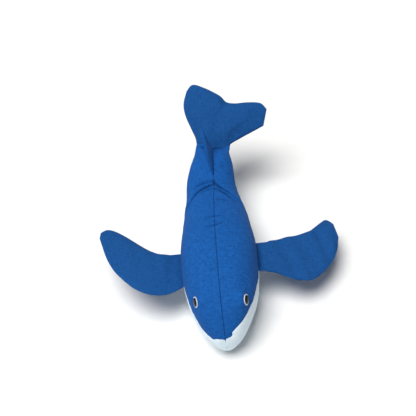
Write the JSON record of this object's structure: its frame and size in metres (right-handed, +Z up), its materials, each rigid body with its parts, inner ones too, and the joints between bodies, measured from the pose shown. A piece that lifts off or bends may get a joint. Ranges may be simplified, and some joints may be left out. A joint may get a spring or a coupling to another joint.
{
  "type": "plush whale",
  "caption": "Stuffed woven-fabric whale with bendable tail stock, flapping padded flippers, soft dorsal fin, padded tail fluke and safety eyes.",
  "frame": {"origin": "bottom centre of the whole whale's bounding box, on the surface it rests on", "axes": "+Z up, -Y towards the nose, +Y towards the tail, +X to the whale's own left"},
  "size_m": [0.3714, 0.4406, 0.1732],
  "materials": {
    "blue_fabric": "matt plain-woven cotton, blue",
    "white_fabric": "matt plain-woven cotton, cool white",
    "fibre_filling": "loose white polyester fibre",
    "black_plastic": "polished black",
    "white_ring": "satin white",
    "washer_nylon": "natural nylon"
  },
  "bodies": {
    "torso": {"back_panel_left": "blue_fabric", "back_panel_right": "blue_fabric", "belly_panel_left": "white_fabric", "belly_panel_right": "white_fabric", "torso_filling": "fibre_filling", "eye_left": "black_plastic", "eye_right": "black_plastic", "eye_ring_left": "white_ring", "eye_ring_right": "white_ring", "eye_washer_left": "washer_nylon", "eye_washer_right": "washer_nylon"},
    "tail": {"tail_back_panel_left": "blue_fabric", "tail_back_panel_right": "blue_fabric", "tail_belly_panel_left": "white_fabric", "tail_belly_panel_right": "white_fabric", "tail_filling": "fibre_filling"},
    "flipper_left": {"flipper_left_top_skin": "blue_fabric", "flipper_left_bottom_skin": "blue_fabric", "flipper_left_filling": "fibre_filling"},
    "flipper_right": {"flipper_right_top_skin": "blue_fabric", "flipper_right_bottom_skin": "blue_fabric", "flipper_right_filling": "fibre_filling"},
    "dorsal_fin": {"dorsal_fin_left_skin": "blue_fabric", "dorsal_fin_right_skin": "blue_fabric"},
    "fluke": {"fluke_top_skin": "blue_fabric", "fluke_bottom_skin": "blue_fabric", "fluke_filling": "fibre_filling"}
  },
  "joints": [
    {"name": "tail_bend", "type": "hinge", "parent": "torso", "child": "tail", "pos_m": [0, 0.05669, 0.0525], "axis": [1, 0, 0], "range_deg": [-20, 20], "stiffness_Nm_per_rad": 1.5},
    {"name": "flipper_left_flap", "type": "hinge", "parent": "torso", "child": "flipper_left", "pos_m": [0.0599, -0.08331, 0.057], "axis": [0, 1, 0], "range_deg": [-67, 17], "stiffness_Nm_per_rad": 0.3},
    {"name": "flipper_right_flap", "type": "hinge", "parent": "torso", "child": "flipper_right", "pos_m": [-0.0599, -0.08331, 0.057], "axis": [0, -1, 0], "range_deg": [-53, 31], "stiffness_Nm_per_rad": 0.3},
    {"name": "dorsal_fin_flop", "type": "hinge", "parent": "tail", "child": "dorsal_fin", "pos_m": [0.001, 0.06869, 0.10009], "axis": [0, 0.935, 0.3545], "range_deg": [-44, 76], "stiffness_Nm_per_rad": 0.03},
    {"name": "fluke_flop", "type": "hinge", "parent": "tail", "child": "fluke", "pos_m": [0.006, 0.13369, 0.105], "axis": [0.9397, -0.2695, -0.2106], "range_deg": [-35, 25], "stiffness_Nm_per_rad": 0.3}
  ]
}
